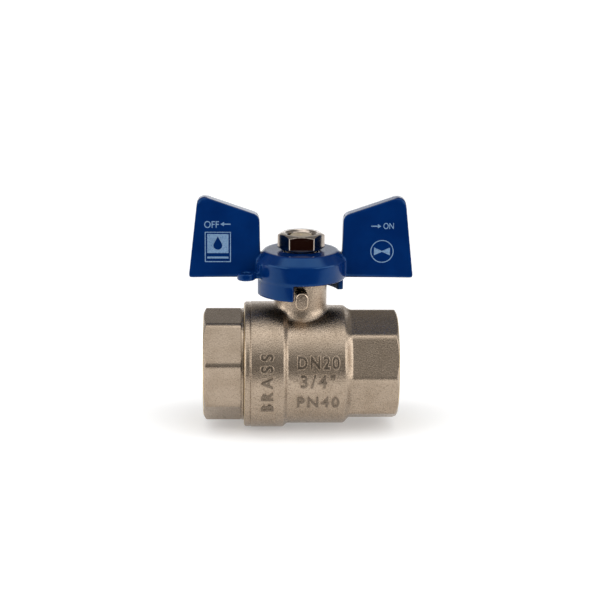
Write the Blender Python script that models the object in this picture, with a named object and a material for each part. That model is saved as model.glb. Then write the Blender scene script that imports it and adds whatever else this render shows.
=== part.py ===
"""Two-piece ball valve with a butterfly handle, G 3/4, female threads at both ends.

Metres. +X runs along the pipe, towards the end that is one piece with the body, and +Z runs up the
stem. The origin is where the two axes cross, at the centre of the ball. The valve is modelled open:
the ball's bore lies along the pipe, and the wings of the handle stand in the XZ plane.
"""

import math

import bmesh
import bpy
from mathutils import Matrix, Vector

MM = 0.001

# Clearances
GAP = 0.3 * MM                  # between pieces that touch on the real valve
OVERLAP = 1.0 * MM              # how far joined shapes reach into each other
LEDGE = 0.15 * MM               # small step that keeps joined faces off one plane

# Ball and seats
BALL_R = 14.0 * MM
BORE_R = 9.0 * MM               # waterway through the ball
BALL_ROOM = 0.4 * MM            # between the ball and the chamber
SLOT_WIDTH = 4.6 * MM           # of the stem's slot, along the pipe
SLOT_WEB = 1.6 * MM             # metal left between the slot and the bore
SEAT_STEP = 1.3 * MM            # the seat pocket is this much smaller than the chamber
SEAT_LIP = 0.8 * MM             # flat rim outside the seat's spherical face
SEAT_WEB = 1.14 * MM            # thickness of the seat where it meets the waterway

# Pipe ends, both the same
PIPE_THREAD_R = 12.06 * MM      # crest of the G 3/4 female thread
PIPE_WALL = 3.24 * MM           # from that crest to the octagon's flats
SOCKET_DEPTH = 13.2 * MM
SOCKET_WEB = 2.7 * MM           # between the seat pocket and the socket
SOCKET_LEAD = 1.2 * MM          # countersink at the mouth of the thread
END_CHAMFER = 1.6 * MM          # turned on the octagon's corners, inwards
END_CHAMFER_DROP = 0.9 * MM     # and along the pipe
CONNECTOR_TWIST = -14.5         # degrees the screwed-in octagon stops from the body's own

# Forged body
BODY_WALL = 2.9 * MM            # barrel, round the chamber
RING_WALL = 2.8 * MM            # ring, round the connector's thread
RING_ROUND = 0.8 * MM
RING_PAST_SEAL = 1.8 * MM       # the ring goes on past the body seal
RING_SLOPE = 1.7 * MM           # length of the step from ring to barrel
SHOULDER_FALL = 2.7 * MM        # rounding from the barrel down into the octagon

# Connector's nose and the seal it presses on
SEAL_WIDTH = 0.9 * MM
SEAL_THICK = 1.2 * MM
NOSE_SETBACK = 0.82 * MM        # the seat's lip stands this far out of the nose
NOSE_LEAD = 0.6 * MM
JOINT_THREAD_LENGTH = 7.85 * MM
COLLAR_PROUD = 1.15 * MM        # turned relief between octagon and ring
COLLAR_LENGTH = 0.65 * MM

# Stem
STEM_R = 4.6 * MM
STEM_COLLAR_STEP = 1.3 * MM     # blow-out-proof shoulder, below the neck's bore
STEM_COLLAR_HEIGHT = 1.8 * MM
TONGUE_WIDTH = 8.0 * MM         # across the pipe
STEM_FLATS = 6.2 * MM           # across the two flats that turn the handle
STUD_R = 3.9 * MM               # M8 thread for the handle nut
STUD_LEAD = 0.6 * MM
STUD_RECESS = 0.5 * MM          # the stem ends this far below the nut's top

# Neck and its seals
STEM_ROOM = 0.4 * MM            # between the stem and the neck's bore
WASHER_THICK = 1.0 * MM
NECK_LEDGE = 0.8 * MM           # metal between the washer's seat and the lower groove
GROOVE_DEPTH = 1.2 * MM
GROOVE_LAND = 0.4 * MM          # between the grooves, and above them
ORING_THICK = STEM_ROOM + GROOVE_DEPTH - 2 * GAP
PACKING_WIDTH = 1.2 * MM
PACKING_THICK = 0.9 * MM
PACKING_DEPTH = 5.4 * MM        # of the box that holds packing and gland nut
NECK_WALL = 1.35 * MM
FLARE = 1.2 * MM                # fillet round the foot of the neck
FLARE_HEIGHT = 3.6 * MM
FLARE_WAIST = 0.4               # of the fillet is left
FLARE_WAIST_UP = 0.35           # at this much of its height

# Gland nut
GLAND_FLATS = 13.0 * MM
GLAND_HEX_HEIGHT = 2.8 * MM
GLAND_ROOM = 0.4 * MM           # up to the shoulder that the handle sits on

# Handle
CAP_R = 13.0 * MM
CAP_WALL = 2.0 * MM
CAP_PLATE = 2.6 * MM
CAP_CONE = 2.3 * MM             # the cone under the flat top, inwards
CAP_CONE_DROP = 2.55 * MM       # and downwards
CAP_HEIGHT = 8.0 * MM
SKIRT_DROP = 4.6 * MM
TURN = 90.0                     # degrees between open and closed
WING_THICK = 4.6 * MM
WING_EDGE = 0.9 * MM            # rounding along the wing's outline
WING_LIFT = 0.1 * MM            # the wings start this far above the cap's rim
WING_ROOT = 1.4 * MM            # and this far inside its wall
WING_REACH = 32.4 * MM          # from the stem axis to the lower tip
WING_LEAN = 2.7 * MM            # the outer edge leans in by this much
WING_RISE = 24.3 * MM
WING_INNER_RISE = 18.2 * MM
WING_INNER_LEAN = 0.4 * MM
WING_ROUNDS = [0, 0.8 * MM, 2.2 * MM, 2.4 * MM]

# Seal eyelet on the cap's wall
EYELET_ANGLE = 203.0
EYELET_LIFT = 0.7 * MM          # above the cap's rim
EYELET_REACH = 4.2 * MM         # from the wall to the middle of the hole
EYELET_R = 2.6 * MM
EYELET_HOLE_R = 1.3 * MM
EYELET_HEIGHT = 2.0 * MM
EYELET_NECK_WIDTH = 2.2 * MM
EYELET_PAD_WIDTH = 3.0 * MM
EYELET_PAD_PROUD = 0.6 * MM
EYELET_PAD_HEIGHT = 4.2 * MM

# Stop lugs on the neck, one in front and one behind
LUG_WIDTH = 3.8 * MM
LUG_HEIGHT = 5.2 * MM
LUG_CATCH = 1.2 * MM            # how far they reach past the skirt's inner side
LUG_ROOM = 2.0 * MM             # below the cap's rim

# Handle nut
NUT_FLATS = 12.0 * MM
NUT_HEIGHT = 4.6 * MM
NUT_CHAMFER = 0.5 * MM

ROUND = 48                      # facets round the big turned pieces
BALL_ROUND = 40
FINE = 32                       # facets round the stem and what is on it
EYELET_ROUND = 20
BALL_STEPS = 12
SHARP = math.radians(35)

# Radii about the pipe axis, from the sizes above
CHAMBER_R = BALL_R + BALL_ROOM
BARREL_R = CHAMBER_R + BODY_WALL
SEAT_POCKET_R = CHAMBER_R - SEAT_STEP
SEAT_R = SEAT_POCKET_R - GAP
SEAT_LIP_R = SEAT_R - SEAT_LIP
SEAT_SPHERE_R = BALL_R + GAP    # the seat's face is a zone of this sphere
PASSAGE_R = BORE_R + GAP
JOINT_THREAD_R = CHAMBER_R + SEAL_WIDTH
RING_R = JOINT_THREAD_R + GAP + RING_WALL
OCTAGON_FLATS = 2 * (PIPE_THREAD_R + PIPE_WALL)

# Places along the pipe
SEAT_LIP_X = math.sqrt(SEAT_SPHERE_R**2 - SEAT_LIP_R**2)
SEAT_BACK = math.sqrt(SEAT_SPHERE_R**2 - PASSAGE_R**2) + SEAT_WEB + GAP
SOCKET_FLOOR = SEAT_BACK + SOCKET_WEB
HALF_LENGTH = SOCKET_FLOOR + SOCKET_DEPTH
NOSE_END = -SEAT_LIP_X - NOSE_SETBACK
JOINT_FLOOR = NOSE_END + GAP + SEAL_THICK + GAP
RING_LEFT = NOSE_END - JOINT_THREAD_LENGTH
RING_RIGHT = JOINT_FLOOR + RING_PAST_SEAL
BARREL_LEFT = RING_RIGHT + RING_SLOPE

# Radii about the stem axis
STEM_COLLAR_R = STEM_R + STEM_COLLAR_STEP
NECK_BORE_R = STEM_R + STEM_ROOM
GROOVE_R = STEM_R - GROOVE_DEPTH
PACKING_BOX_R = NECK_BORE_R + PACKING_WIDTH
NECK_R = PACKING_BOX_R + NECK_WALL
CAP_INNER_R = CAP_R - CAP_WALL

# Heights up the stem
SLOT_FLOOR = BORE_R + SLOT_WEB
STEM_COLLAR_BOTTOM = BALL_R + BALL_ROOM
STEM_SHAFT = STEM_COLLAR_BOTTOM + STEM_COLLAR_HEIGHT
WASHER_BOTTOM = STEM_SHAFT + GAP
WASHER_SEAT = WASHER_BOTTOM + WASHER_THICK + GAP
GROOVE_HEIGHT = ORING_THICK + 2 * GAP
GROOVE_PITCH = GROOVE_HEIGHT + GROOVE_LAND
GROOVE_BOTTOMS = [WASHER_SEAT + NECK_LEDGE + n * GROOVE_PITCH for n in range(2)]
PACKING_FLOOR = GROOVE_BOTTOMS[-1] + GROOVE_PITCH
GLAND_BOTTOM = PACKING_FLOOR + 2 * (PACKING_THICK + GAP) + GAP
NECK_TOP = PACKING_FLOOR + PACKING_DEPTH
GLAND_HEX = NECK_TOP + GAP
GLAND_TOP = GLAND_HEX + GLAND_HEX_HEIGHT
STEM_SHOULDER = GLAND_TOP + GLAND_ROOM
PLATE_BOTTOM = STEM_SHOULDER + GAP
CAP_TOP = PLATE_BOTTOM + CAP_PLATE
CAP_RIM = CAP_TOP - CAP_HEIGHT
SKIRT_BOTTOM = CAP_RIM - SKIRT_DROP
LUG_TOP = CAP_RIM - LUG_ROOM
STUD_BOTTOM = CAP_TOP - STEM_ROOM
NUT_BOTTOM = CAP_TOP + GAP
NUT_TOP = NUT_BOTTOM + NUT_HEIGHT
STEM_TOP = NUT_TOP - STUD_RECESS


def material(name, colour, roughness, metallic):
    """A plain Principled material."""
    made = bpy.data.materials.new(name)
    made.use_nodes = True
    shader = made.node_tree.nodes["Principled BSDF"]
    shader.inputs["Base Color"].default_value = (*colour, 1.0)
    shader.inputs["Roughness"].default_value = roughness
    shader.inputs["Metallic"].default_value = metallic
    return made


NICKEL = ("nickel_plate", (0.42, 0.38, 0.32), 0.45, 1.0)
BRASS = ("turned_brass", (0.72, 0.54, 0.25), 0.30, 1.0)
CHROME = ("chromed_ball", (0.75, 0.75, 0.76), 0.10, 1.0)
PTFE = ("white_ptfe", (0.85, 0.85, 0.82), 0.50, 0.0)
NITRILE = ("black_nitrile", (0.02, 0.02, 0.02), 0.60, 0.0)
PAINT = ("blue_enamel", (0.01, 0.05, 0.22), 0.30, 0.0)
NUT_PLATE = ("plated_nut", (0.50, 0.47, 0.42), 0.25, 1.0)


def place(name, bm, look, location=(0, 0, 0)):
    """Closes the bmesh into an object whose own origin is at the given place."""
    bmesh.ops.recalc_face_normals(bm, faces=bm.faces)
    mesh = bpy.data.meshes.new(name)
    bm.to_mesh(mesh)
    bm.free()
    mesh.shade_smooth()
    mesh.set_sharp_from_angle(angle=SHARP)
    made = bpy.data.objects.new(name, mesh)
    made.location = location
    bpy.context.scene.collection.objects.link(made)
    if look is None:
        made.hide_render = True
        made.display_type = "WIRE"
    else:
        mesh.materials.append(material(f"{name}_{look[0]}", *look[1:]))
    return made


def turned(name, profile, look=None, about="Z", facets=ROUND, start=0.0, span=360.0, location=(0, 0, 0)):
    """Turns a closed outline of (along, radius) points about an axis, all the way or through a span."""
    bm = bmesh.new()
    whole = span >= 360.0
    stations = facets if whole else facets + 1
    loops = []
    for n in range(stations):
        angle = math.radians(start + span * n / facets)
        loop = []
        for k, (along, radius) in enumerate(profile):
            if radius == 0 and loops:
                loop.append(loops[0][k])
                continue
            across = (radius * math.cos(angle), radius * math.sin(angle))
            spot = (along, *across) if about == "X" else (*across, along)
            loop.append(bm.verts.new(spot))
        loops.append(loop)
    pairs = list(zip(loops, loops[1:] + loops[:1])) if whole else list(zip(loops, loops[1:]))
    for one, two in pairs:
        for k in range(len(profile)):
            m = (k + 1) % len(profile)
            corners = list(dict.fromkeys((one[k], one[m], two[m], two[k])))
            if len(corners) > 2:
                bm.faces.new(corners)
    if not whole:
        bm.faces.new(loops[0])
        bm.faces.new(reversed(loops[-1]))
    return place(name, bm, look, location)


def extruded(name, outline, low, high, look=None, along="Z", location=(0, 0, 0), rounding=0.0):
    """Extrudes an outline of (u, v) points along an axis. rounding bevels the two rims."""
    bm = bmesh.new()
    if along == "X":
        verts = [bm.verts.new((low, u, v)) for u, v in outline]
    elif along == "Y":
        verts = [bm.verts.new((u, low, v)) for u, v in outline]
    else:
        verts = [bm.verts.new((u, v, low)) for u, v in outline]
    face = bm.faces.new(verts)
    push = Vector([high - low if name_of_axis == along else 0 for name_of_axis in "XYZ"])
    pushed = bmesh.ops.extrude_face_region(bm, geom=[face])["geom"]
    top = [v for v in pushed if isinstance(v, bmesh.types.BMVert)]
    bmesh.ops.translate(bm, verts=top, vec=push)
    if rounding:
        at = "XYZ".index(along)
        rims = [e for e in bm.edges if abs(e.verts[0].co[at] - e.verts[1].co[at]) < abs(high - low) / 2]
        bmesh.ops.bevel(bm, geom=rims, offset=rounding, segments=2, profile=0.5, affect="EDGES")
    return place(name, bm, look, location)


def polygon(sides, flats, start):
    """A regular outline by its size across flats, with its first corner at start degrees."""
    radius = flats / 2 / math.cos(math.pi / sides)
    turns = [math.radians(start + 360 * n / sides) for n in range(sides)]
    return [(radius * math.cos(t), radius * math.sin(t)) for t in turns]


def rounded(corners, radii, steps=4):
    """An outline with each corner replaced by an arc of its own radius."""
    outline = []
    for n, radius in enumerate(radii):
        here = Vector(corners[n])
        back = (Vector(corners[n - 1]) - here).normalized()
        ahead = (Vector(corners[(n + 1) % len(corners)]) - here).normalized()
        if radius == 0:
            outline.append(tuple(here))
            continue
        half = back.angle(ahead) / 2
        centre = here + (back + ahead).normalized() * radius / math.sin(half)
        first = (here + back * radius / math.tan(half) - centre).normalized()
        last = (here + ahead * radius / math.tan(half) - centre).normalized()
        for k in range(steps + 1):
            outline.append(tuple(centre + radius * first.slerp(last, k / steps)))
    return outline


def boolean(target, operand, operation):
    """Adds an exact Boolean to the target."""
    step = target.modifiers.new(f"{operation.lower()}_{operand.name}", "BOOLEAN")
    step.operation = operation
    step.solver = "EXACT"
    step.object = operand


def cut(target, *cutters):
    for cutter in cutters:
        boolean(target, cutter, "DIFFERENCE")


def join(target, *additions):
    for addition in additions:
        boolean(target, addition, "UNION")


def arc(centre, radius, first, last, steps):
    """Points on an arc, angles in degrees."""
    turns = [math.radians(first + (last - first) * k / steps) for k in range(steps + 1)]
    return [(centre[0] + radius * math.cos(t), centre[1] + radius * math.sin(t)) for t in turns]


def octagon_end(name, side, inner, first_corner):
    """The octagon of one pipe end, with the turned chamfer at its mouth. side is 1 or -1."""
    end = side * HALF_LENGTH
    corner_r = OCTAGON_FLATS / 2 / math.cos(math.pi / 8)
    low, high = sorted((inner, end))
    block = extruded(name, polygon(8, OCTAGON_FLATS, first_corner), low, high, along="X")
    envelope = turned(f"{name}_chamfer", [
        (inner - side * OVERLAP, 0),
        (inner - side * OVERLAP, corner_r + OVERLAP),
        (end - side * END_CHAMFER_DROP, corner_r + OVERLAP),
        (end - side * END_CHAMFER_DROP, corner_r),
        (end, corner_r - END_CHAMFER),
        (end, 0),
    ], about="X")
    boolean(block, envelope, "INTERSECT")
    return block


def body():
    """The forged half: ring, barrel, octagon end and neck in one, with lugs and all its bores."""
    shoulder = arc((SEAT_BACK, BARREL_R - SHOULDER_FALL), SHOULDER_FALL, 90, 15, 5)
    made = turned("body", [
        (RING_LEFT, 0),
        (RING_LEFT, RING_R - RING_ROUND),
        (RING_LEFT + RING_ROUND, RING_R),
        (RING_RIGHT, RING_R),
        (BARREL_LEFT, BARREL_R),
        *shoulder,
        (shoulder[-1][0], 0),
    ], NICKEL, about="X")
    foot = math.sqrt(BARREL_R**2 - (NECK_R + FLARE)**2) + LEDGE
    neck = turned("neck", [
        (0, 0),
        (0, NECK_R + FLARE),
        (foot, NECK_R + FLARE),
        (foot + FLARE_HEIGHT * FLARE_WAIST_UP, NECK_R + FLARE * FLARE_WAIST),
        (foot + FLARE_HEIGHT, NECK_R),
        (NECK_TOP, NECK_R),
        (NECK_TOP, 0),
    ], facets=FINE)
    half = LUG_WIDTH / 2
    lug_bottom = LUG_TOP - LUG_HEIGHT
    reach = CAP_INNER_R + LUG_CATCH
    corners = [(-half, lug_bottom), (half, lug_bottom), (half, LUG_TOP), (-half, LUG_TOP)]
    lugs = extruded("lugs", rounded(corners, [half - LEDGE] * 4), -reach, reach, along="Y")
    join(made, octagon_end("octagon_outlet", 1, SEAT_BACK + OVERLAP, 0.0), neck, lugs)

    thread_r = JOINT_THREAD_R + GAP
    waterway = turned("waterway", [
        (RING_LEFT - OVERLAP, 0),
        (RING_LEFT - OVERLAP, thread_r),
        (JOINT_FLOOR, thread_r),
        (JOINT_FLOOR, CHAMBER_R),
        (SEAT_LIP_X - LEDGE, CHAMBER_R),
        (SEAT_LIP_X - LEDGE, SEAT_POCKET_R),
        (SEAT_BACK, SEAT_POCKET_R),
        (SEAT_BACK, PASSAGE_R),
        (SOCKET_FLOOR, PASSAGE_R),
        (SOCKET_FLOOR, PIPE_THREAD_R),
        (HALF_LENGTH - SOCKET_LEAD, PIPE_THREAD_R),
        (HALF_LENGTH + OVERLAP, PIPE_THREAD_R + SOCKET_LEAD + OVERLAP),
        (HALF_LENGTH + OVERLAP, 0),
    ], about="X")
    stem_bore = turned("stem_bore", [
        (0, 0),
        (0, STEM_COLLAR_R + GAP),
        (WASHER_SEAT, STEM_COLLAR_R + GAP),
        (WASHER_SEAT, NECK_BORE_R),
        (PACKING_FLOOR, NECK_BORE_R),
        (PACKING_FLOOR, PACKING_BOX_R),
        (NECK_TOP + OVERLAP, PACKING_BOX_R),
        (NECK_TOP + OVERLAP, 0),
    ], facets=FINE)
    cut(made, waterway, stem_bore)
    return made


def end_connector():
    """The screwed-in end: octagon, turned relief, and a threaded nose that holds the inlet seat."""
    octagon_right = RING_LEFT - GAP - COLLAR_LENGTH
    made = turned("end_connector", [
        (octagon_right - OVERLAP, 0),
        (octagon_right - OVERLAP, JOINT_THREAD_R + COLLAR_PROUD),
        (RING_LEFT - GAP, JOINT_THREAD_R + COLLAR_PROUD),
        (RING_LEFT - GAP, JOINT_THREAD_R),
        (NOSE_END - NOSE_LEAD, JOINT_THREAD_R),
        (NOSE_END, JOINT_THREAD_R - NOSE_LEAD),
        (NOSE_END, 0),
    ], BRASS, about="X")
    join(made, octagon_end("octagon_inlet", -1, octagon_right, CONNECTOR_TWIST))
    waterway = turned("inlet_waterway", [
        (-HALF_LENGTH - OVERLAP, 0),
        (-HALF_LENGTH - OVERLAP, PIPE_THREAD_R + SOCKET_LEAD + OVERLAP),
        (-HALF_LENGTH + SOCKET_LEAD, PIPE_THREAD_R),
        (-SOCKET_FLOOR, PIPE_THREAD_R),
        (-SOCKET_FLOOR, PASSAGE_R),
        (-SEAT_BACK, PASSAGE_R),
        (-SEAT_BACK, SEAT_POCKET_R),
        (NOSE_END + OVERLAP, SEAT_POCKET_R),
        (NOSE_END + OVERLAP, 0),
    ], about="X")
    cut(made, waterway)


def ball(axis):
    """The ball, bored along the pipe, with the stem's slot across its top."""
    face = math.degrees(math.asin(BORE_R / BALL_R))
    zone = arc((0, 0), BALL_R, 180 - face, face, BALL_STEPS)
    made = turned("ball", zone, CHROME, about="X", facets=BALL_ROUND)
    half = SLOT_WIDTH / 2
    outline = [(-half, SLOT_FLOOR), (half, SLOT_FLOOR), (half, BALL_R + OVERLAP), (-half, BALL_R + OVERLAP)]
    cut(made, extruded("ball_slot", outline, -BALL_R, BALL_R, along="Y"))
    made.parent = axis


def seat(name, side):
    """A sealing ring whose face is a zone of a sphere just clear of the ball."""
    inner = math.degrees(math.asin(PASSAGE_R / SEAT_SPHERE_R))
    outer = math.degrees(math.asin(SEAT_LIP_R / SEAT_SPHERE_R))
    zone = arc((0, 0), SEAT_SPHERE_R, inner, outer, 3)
    profile = [(SEAT_BACK - GAP, PASSAGE_R), *zone, (SEAT_LIP_X, SEAT_R), (SEAT_BACK - GAP, SEAT_R)]
    turned(name, [(side * along, radius) for along, radius in profile], PTFE, about="X")


def ring(name, low, high, inner, outer, look, about="Z"):
    """A plain flat ring."""
    return turned(name, [(low, inner), (low, outer), (high, outer), (high, inner)], look, about, FINE)


def stem(axis):
    """Tongue, blow-out-proof collar, grooved shaft, two flats for the handle and a threaded end."""
    profile = [(STEM_COLLAR_BOTTOM, 0), (STEM_COLLAR_BOTTOM, STEM_COLLAR_R)]
    profile += [(STEM_SHAFT, STEM_COLLAR_R), (STEM_SHAFT, STEM_R)]
    for low in GROOVE_BOTTOMS:
        high = low + GROOVE_HEIGHT
        profile += [(low, STEM_R), (low, GROOVE_R), (high, GROOVE_R), (high, STEM_R)]
    profile += [(STUD_BOTTOM, STEM_R), (STUD_BOTTOM, STUD_R)]
    profile += [(STEM_TOP - STUD_LEAD, STUD_R), (STEM_TOP, STUD_R - STUD_LEAD), (STEM_TOP, 0)]
    made = turned("stem", profile, BRASS, facets=FINE)
    tongue_half = SLOT_WIDTH / 2 - GAP
    outline = [
        (-TONGUE_WIDTH / 2, SLOT_FLOOR + GAP),
        (TONGUE_WIDTH / 2, SLOT_FLOOR + GAP),
        (TONGUE_WIDTH / 2, STEM_COLLAR_BOTTOM + OVERLAP),
        (-TONGUE_WIDTH / 2, STEM_COLLAR_BOTTOM + OVERLAP),
    ]
    join(made, extruded("tongue", outline, -tongue_half, tongue_half, along="X"))
    for side, word in ((1, "back"), (-1, "front")):
        flat = side * STEM_FLATS / 2
        far = side * (STEM_R + OVERLAP)
        outline = [(-far, flat), (far, flat), (far, far), (-far, far)]
        cut(made, extruded(f"stem_flat_{word}", outline, STEM_SHOULDER, STUD_BOTTOM + OVERLAP))
    made.parent = axis


def o_ring(name, bottom, axis):
    """A round-section ring resting in one of the stem's grooves."""
    section = arc((bottom + GROOVE_HEIGHT / 2, (GROOVE_R + NECK_BORE_R) / 2), ORING_THICK / 2, 0, 315, 7)
    turned(name, section, NITRILE, facets=FINE).parent = axis


def gland_nut():
    """Screws into the top of the neck and presses on the packing."""
    spigot_r = PACKING_BOX_R - GAP
    made = turned("gland_nut", [
        (GLAND_BOTTOM, 0),
        (GLAND_BOTTOM, spigot_r),
        (GLAND_HEX + OVERLAP, spigot_r),
        (GLAND_HEX + OVERLAP, 0),
    ], BRASS, facets=FINE)
    join(made, extruded("gland_hex", polygon(6, GLAND_FLATS, 30), GLAND_HEX, GLAND_TOP))
    bore_r = STEM_R + GAP
    cut(made, turned("gland_bore", [
        (GLAND_BOTTOM - OVERLAP, 0),
        (GLAND_BOTTOM - OVERLAP, bore_r),
        (GLAND_TOP + OVERLAP, bore_r),
        (GLAND_TOP + OVERLAP, 0),
    ], facets=FINE))


def wing(name, side):
    """One upright wing of the handle, rounded along its outline."""
    bottom = CAP_RIM + WING_LIFT
    root = CAP_R - WING_ROOT
    corners = [
        (side * root, bottom),
        (side * WING_REACH, bottom),
        (side * (WING_REACH - WING_LEAN), bottom + WING_RISE),
        (side * (root + WING_INNER_LEAN), bottom + WING_INNER_RISE),
    ]
    outline = rounded(corners, WING_ROUNDS)
    return extruded(name, outline, -WING_THICK / 2, WING_THICK / 2, along="Y", rounding=WING_EDGE)


def eyelet(made):
    """The small ring for a seal wire, on its own neck and pad at the side of the cap."""
    turn = math.radians(EYELET_ANGLE)
    out = Vector((math.cos(turn), math.sin(turn)))
    aside = Vector((-out.y, out.x))
    middle = CAP_R + EYELET_REACH
    low = CAP_RIM + EYELET_LIFT
    high = low + EYELET_HEIGHT
    wall = CAP_R - CAP_WALL / 2

    def block(name, near, far, width, bottom, top):
        half = aside * width / 2
        corners = (out * near - half, out * far - half, out * far + half, out * near + half)
        return extruded(name, [tuple(corner) for corner in corners], bottom, top)

    pad = block("eyelet_pad", wall, CAP_R + EYELET_PAD_PROUD, EYELET_PAD_WIDTH,
                low + LEDGE, low + EYELET_PAD_HEIGHT)
    neck = block("eyelet_neck", wall - LEDGE, middle - EYELET_HOLE_R - LEDGE, EYELET_NECK_WIDTH,
                 low + 2 * LEDGE, high - LEDGE)
    loop = turned("eyelet_loop", [
        (low, EYELET_HOLE_R),
        (low, EYELET_R),
        (high, EYELET_R),
        (high, EYELET_HOLE_R),
    ], facets=EYELET_ROUND, location=(*(out * middle), 0))
    join(made, pad, neck, loop)


def handle(axis):
    """Cap with two stop skirts, two wings, the seal eyelet, and the hole that fits the stem's flats."""
    made = turned("handle", [
        (CAP_TOP, 0),
        (CAP_TOP, CAP_R - CAP_CONE),
        (CAP_TOP - CAP_CONE_DROP, CAP_R),
        (SKIRT_BOTTOM, CAP_R),
        (SKIRT_BOTTOM, CAP_INNER_R),
        (PLATE_BOTTOM - CAP_WALL / 2, CAP_INNER_R),
        (PLATE_BOTTOM, CAP_INNER_R - CAP_WALL / 2),
        (PLATE_BOTTOM, 0),
    ], PAINT)
    lug_half = math.degrees(math.asin((LUG_WIDTH / 2 + GAP) / CAP_INNER_R))
    for word, lug_at in (("front", 270.0), ("back", 90.0)):
        cut(made, turned(f"notch_{word}", [
            (SKIRT_BOTTOM - OVERLAP, CAP_INNER_R - OVERLAP),
            (CAP_RIM, CAP_INNER_R - OVERLAP),
            (CAP_RIM, CAP_R + OVERLAP),
            (SKIRT_BOTTOM - OVERLAP, CAP_R + OVERLAP),
        ], facets=FINE, start=lug_at - lug_half, span=TURN + 2 * lug_half))
    join(made, wing("wing_left", -1), wing("wing_right", 1))
    eyelet(made)
    hole = turned("stem_hole", [
        (PLATE_BOTTOM - OVERLAP, 0),
        (PLATE_BOTTOM - OVERLAP, STEM_R + GAP),
        (CAP_TOP + OVERLAP, STEM_R + GAP),
        (CAP_TOP + OVERLAP, 0),
    ], facets=FINE)
    wide = STEM_R + 2 * OVERLAP
    deep = STEM_FLATS / 2 + GAP
    outline = [(-wide, -deep), (wide, -deep), (wide, deep), (-wide, deep)]
    boolean(hole, extruded("stem_hole_flats", outline, PLATE_BOTTOM - 2 * OVERLAP, CAP_TOP + 2 * OVERLAP),
            "INTERSECT")
    cut(made, hole)
    made.parent = axis


def handle_nut(axis):
    """A hexagon nut, chamfered at both faces, with one flat to the front."""
    corner_r = NUT_FLATS / math.sqrt(3)
    face_r = corner_r - 2 * NUT_CHAMFER
    made = extruded("handle_nut", polygon(6, NUT_FLATS, 0), NUT_BOTTOM, NUT_TOP, NUT_PLATE)
    envelope = turned("nut_chamfers", [
        (NUT_BOTTOM, 0),
        (NUT_BOTTOM, face_r),
        (NUT_BOTTOM + NUT_CHAMFER, corner_r + LEDGE),
        (NUT_TOP - NUT_CHAMFER, corner_r + LEDGE),
        (NUT_TOP, face_r),
        (NUT_TOP, 0),
    ], facets=FINE)
    boolean(made, envelope, "INTERSECT")
    cut(made, turned("nut_bore", [
        (NUT_BOTTOM - OVERLAP, 0),
        (NUT_BOTTOM - OVERLAP, STUD_R + GAP),
        (NUT_TOP + OVERLAP, STUD_R + GAP),
        (NUT_TOP + OVERLAP, 0),
    ], facets=FINE))
    made.parent = axis


def main():
    for old in list(bpy.data.objects):
        bpy.data.objects.remove(old)
    axes = {}
    for name in ("handle_axis", "ball_axis"):
        axes[name] = bpy.data.objects.new(name, None)
        bpy.context.scene.collection.objects.link(axes[name])
    body()
    end_connector()
    ball(axes["ball_axis"])
    seat("seat_inlet", -1)
    seat("seat_outlet", 1)
    seal_low = NOSE_END + GAP
    seal_r = JOINT_THREAD_R
    ring("body_seal_ring", seal_low, seal_low + SEAL_THICK, seal_r - SEAL_WIDTH, seal_r, PTFE, about="X")
    stem(axes["handle_axis"])
    ring("thrust_washer", WASHER_BOTTOM, WASHER_BOTTOM + WASHER_THICK, STEM_R + GAP, STEM_COLLAR_R, PTFE)
    for word, bottom in zip(("lower", "upper"), GROOVE_BOTTOMS):
        o_ring(f"stem_o_ring_{word}", bottom, axes["handle_axis"])
    for n, word in enumerate(("lower", "upper")):
        low = PACKING_FLOOR + GAP + n * (PACKING_THICK + GAP)
        ring(f"packing_ring_{word}", low, low + PACKING_THICK, STEM_R + GAP, PACKING_BOX_R - GAP, PTFE)
    gland_nut()
    handle(axes["handle_axis"])
    handle_nut(axes["handle_axis"])


main()
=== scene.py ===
"""Looks of the two-piece ball valve: sand-textured nickel plate on forged brass, a butterfly handle
in glossy blue enamel, and a bright plated nut. Metres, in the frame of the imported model: +X along
the pipe, +Z up the stem, the origin at the centre of the ball."""
import math

import bmesh
import bpy
import numpy as np
from mathutils import Matrix, Vector


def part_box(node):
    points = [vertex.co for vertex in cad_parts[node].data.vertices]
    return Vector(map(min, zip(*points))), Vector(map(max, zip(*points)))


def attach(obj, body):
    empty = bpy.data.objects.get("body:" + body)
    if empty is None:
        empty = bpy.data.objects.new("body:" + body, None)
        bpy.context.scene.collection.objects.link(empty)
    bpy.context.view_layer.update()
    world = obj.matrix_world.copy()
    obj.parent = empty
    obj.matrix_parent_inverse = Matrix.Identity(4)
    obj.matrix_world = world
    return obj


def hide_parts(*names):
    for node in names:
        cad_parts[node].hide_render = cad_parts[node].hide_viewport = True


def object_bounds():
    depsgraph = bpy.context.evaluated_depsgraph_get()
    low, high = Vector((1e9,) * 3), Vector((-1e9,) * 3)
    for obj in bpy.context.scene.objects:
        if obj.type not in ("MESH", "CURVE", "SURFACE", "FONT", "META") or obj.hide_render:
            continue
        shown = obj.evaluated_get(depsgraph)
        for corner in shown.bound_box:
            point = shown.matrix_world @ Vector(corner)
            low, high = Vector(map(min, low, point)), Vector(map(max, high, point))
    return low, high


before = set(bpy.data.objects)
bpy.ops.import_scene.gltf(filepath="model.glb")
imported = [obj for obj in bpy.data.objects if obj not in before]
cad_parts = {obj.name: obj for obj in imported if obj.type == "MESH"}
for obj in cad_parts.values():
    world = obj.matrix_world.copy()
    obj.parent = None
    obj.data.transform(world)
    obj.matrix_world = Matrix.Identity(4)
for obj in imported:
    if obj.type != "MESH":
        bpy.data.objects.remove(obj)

MM = 0.001
cad_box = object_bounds()
body_low, body_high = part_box("body")
connector_low, connector_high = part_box("end_connector")
handle_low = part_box("handle")[0]
nut_low, nut_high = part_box("handle_nut")
stem_low, stem_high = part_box("stem")
gland_low, gland_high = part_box("gland_nut")

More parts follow.
